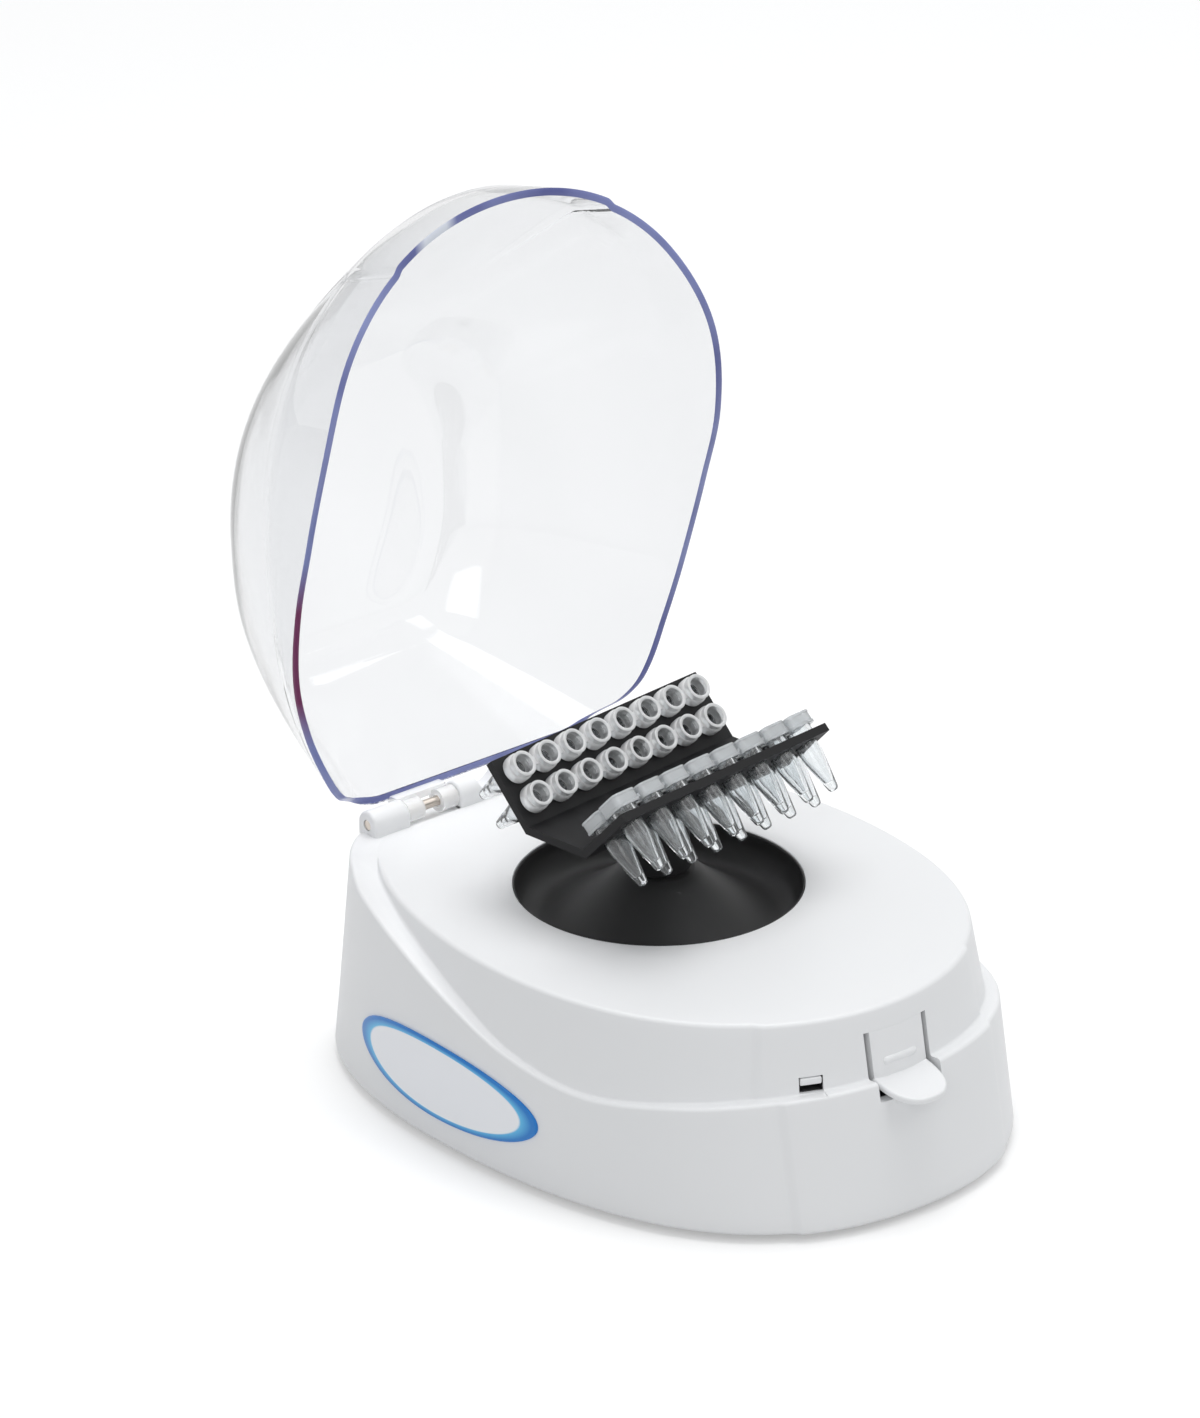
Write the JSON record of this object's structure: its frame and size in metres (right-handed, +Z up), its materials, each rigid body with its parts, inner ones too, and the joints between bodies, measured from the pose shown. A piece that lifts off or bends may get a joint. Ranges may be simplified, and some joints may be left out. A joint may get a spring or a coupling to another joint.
{
  "type": "mini centrifuge",
  "caption": "Benchtop mini centrifuge: teardrop base, clear hinged domed lid, trough rotor carrying tube strips, front latch tab and lid switch.",
  "frame": {"origin": "middle of the bounding box with the lid open, on the plane that the feet stand on", "axes": "+Z up, -Y towards the latch at the front, +Y towards the hinge and the power inlet, +X to the right of someone facing the latch side from the front"},
  "size_m": [0.1406, 0.232, 0.221],
  "materials": {
    "shell": "fine satin moulded",
    "label": "smooth printed film",
    "rubber": "matt",
    "steel": "plain",
    "bowl": "satin black",
    "rotor": "satin black",
    "board": "coated board",
    "dark_plastic": "moulded",
    "clear_lid": "polished clear",
    "clear_tube": "clear moulded",
    "clear_cap": "clear moulded"
  },
  "bodies": {
    "base": {"housing": "shell", "side_label": "label", "bottom_plate": "shell", "foot_1": "rubber", "foot_2": "rubber", "foot_3": "rubber", "foot_4": "rubber", "base_screw_1": "steel", "base_screw_2": "steel", "base_screw_3": "steel", "base_screw_4": "steel", "chamber_bowl": "bowl", "bowl_hump": "bowl", "deck_ring": "shell", "bowl_screw_1": "steel", "bowl_screw_2": "steel", "bowl_screw_3": "steel", "motor_bracket": "steel", "motor_mount_1": "rubber", "motor_mount_2": "rubber", "motor_mount_3": "rubber", "motor_mount_4": "rubber", "motor_can": "steel", "circuit_board": "board", "power_inlet": "dark_plastic", "inlet_pin": "steel", "lid_switch_body": "dark_plastic", "hinge_pin_left": "steel", "hinge_pin_right": "steel"},
    "lid": {"lid": "clear_lid"},
    "rotor": {"motor_shaft": "steel", "rotor_hub": "rotor", "rotor_trough": "rotor", "tube_strip_front_upper": "clear_tube", "tube_strip_front_lower": "clear_tube", "tube_strip_rear_upper": "clear_tube", "tube_strip_rear_lower": "clear_tube", "cap_strip_front_upper": "clear_cap", "cap_strip_front_lower": "clear_cap"},
    "latch": {"latch_tongue": "shell"},
    "switch_lever": {"lid_switch_lever": "shell"}
  },
  "joints": [
    {"name": "lid_hinge", "type": "hinge", "parent": "base", "child": "lid", "pos_m": [0.00035, 0.0573, 0.0564], "axis": [1, 0, 0], "range_deg": [0, 93.5]},
    {"name": "rotor_spin", "type": "hinge", "parent": "base", "child": "rotor", "pos_m": [0.00035, -0.0117, 0.0764], "axis": [0, 0, 1], "continuous": true},
    {"name": "latch_flex", "type": "hinge", "parent": "base", "child": "latch", "pos_m": [0.00035, -0.1006, 0.04823], "axis": [1, 0, 0], "range_deg": [0, 7], "stiffness_Nm_per_rad": 0.4},
    {"name": "lid_switch_press", "type": "slide", "parent": "base", "child": "switch_lever", "axis": [0.3533, 0.9355, 0], "range_m": [0, 0.0015], "stiffness_N_per_m": 300}
  ]
}
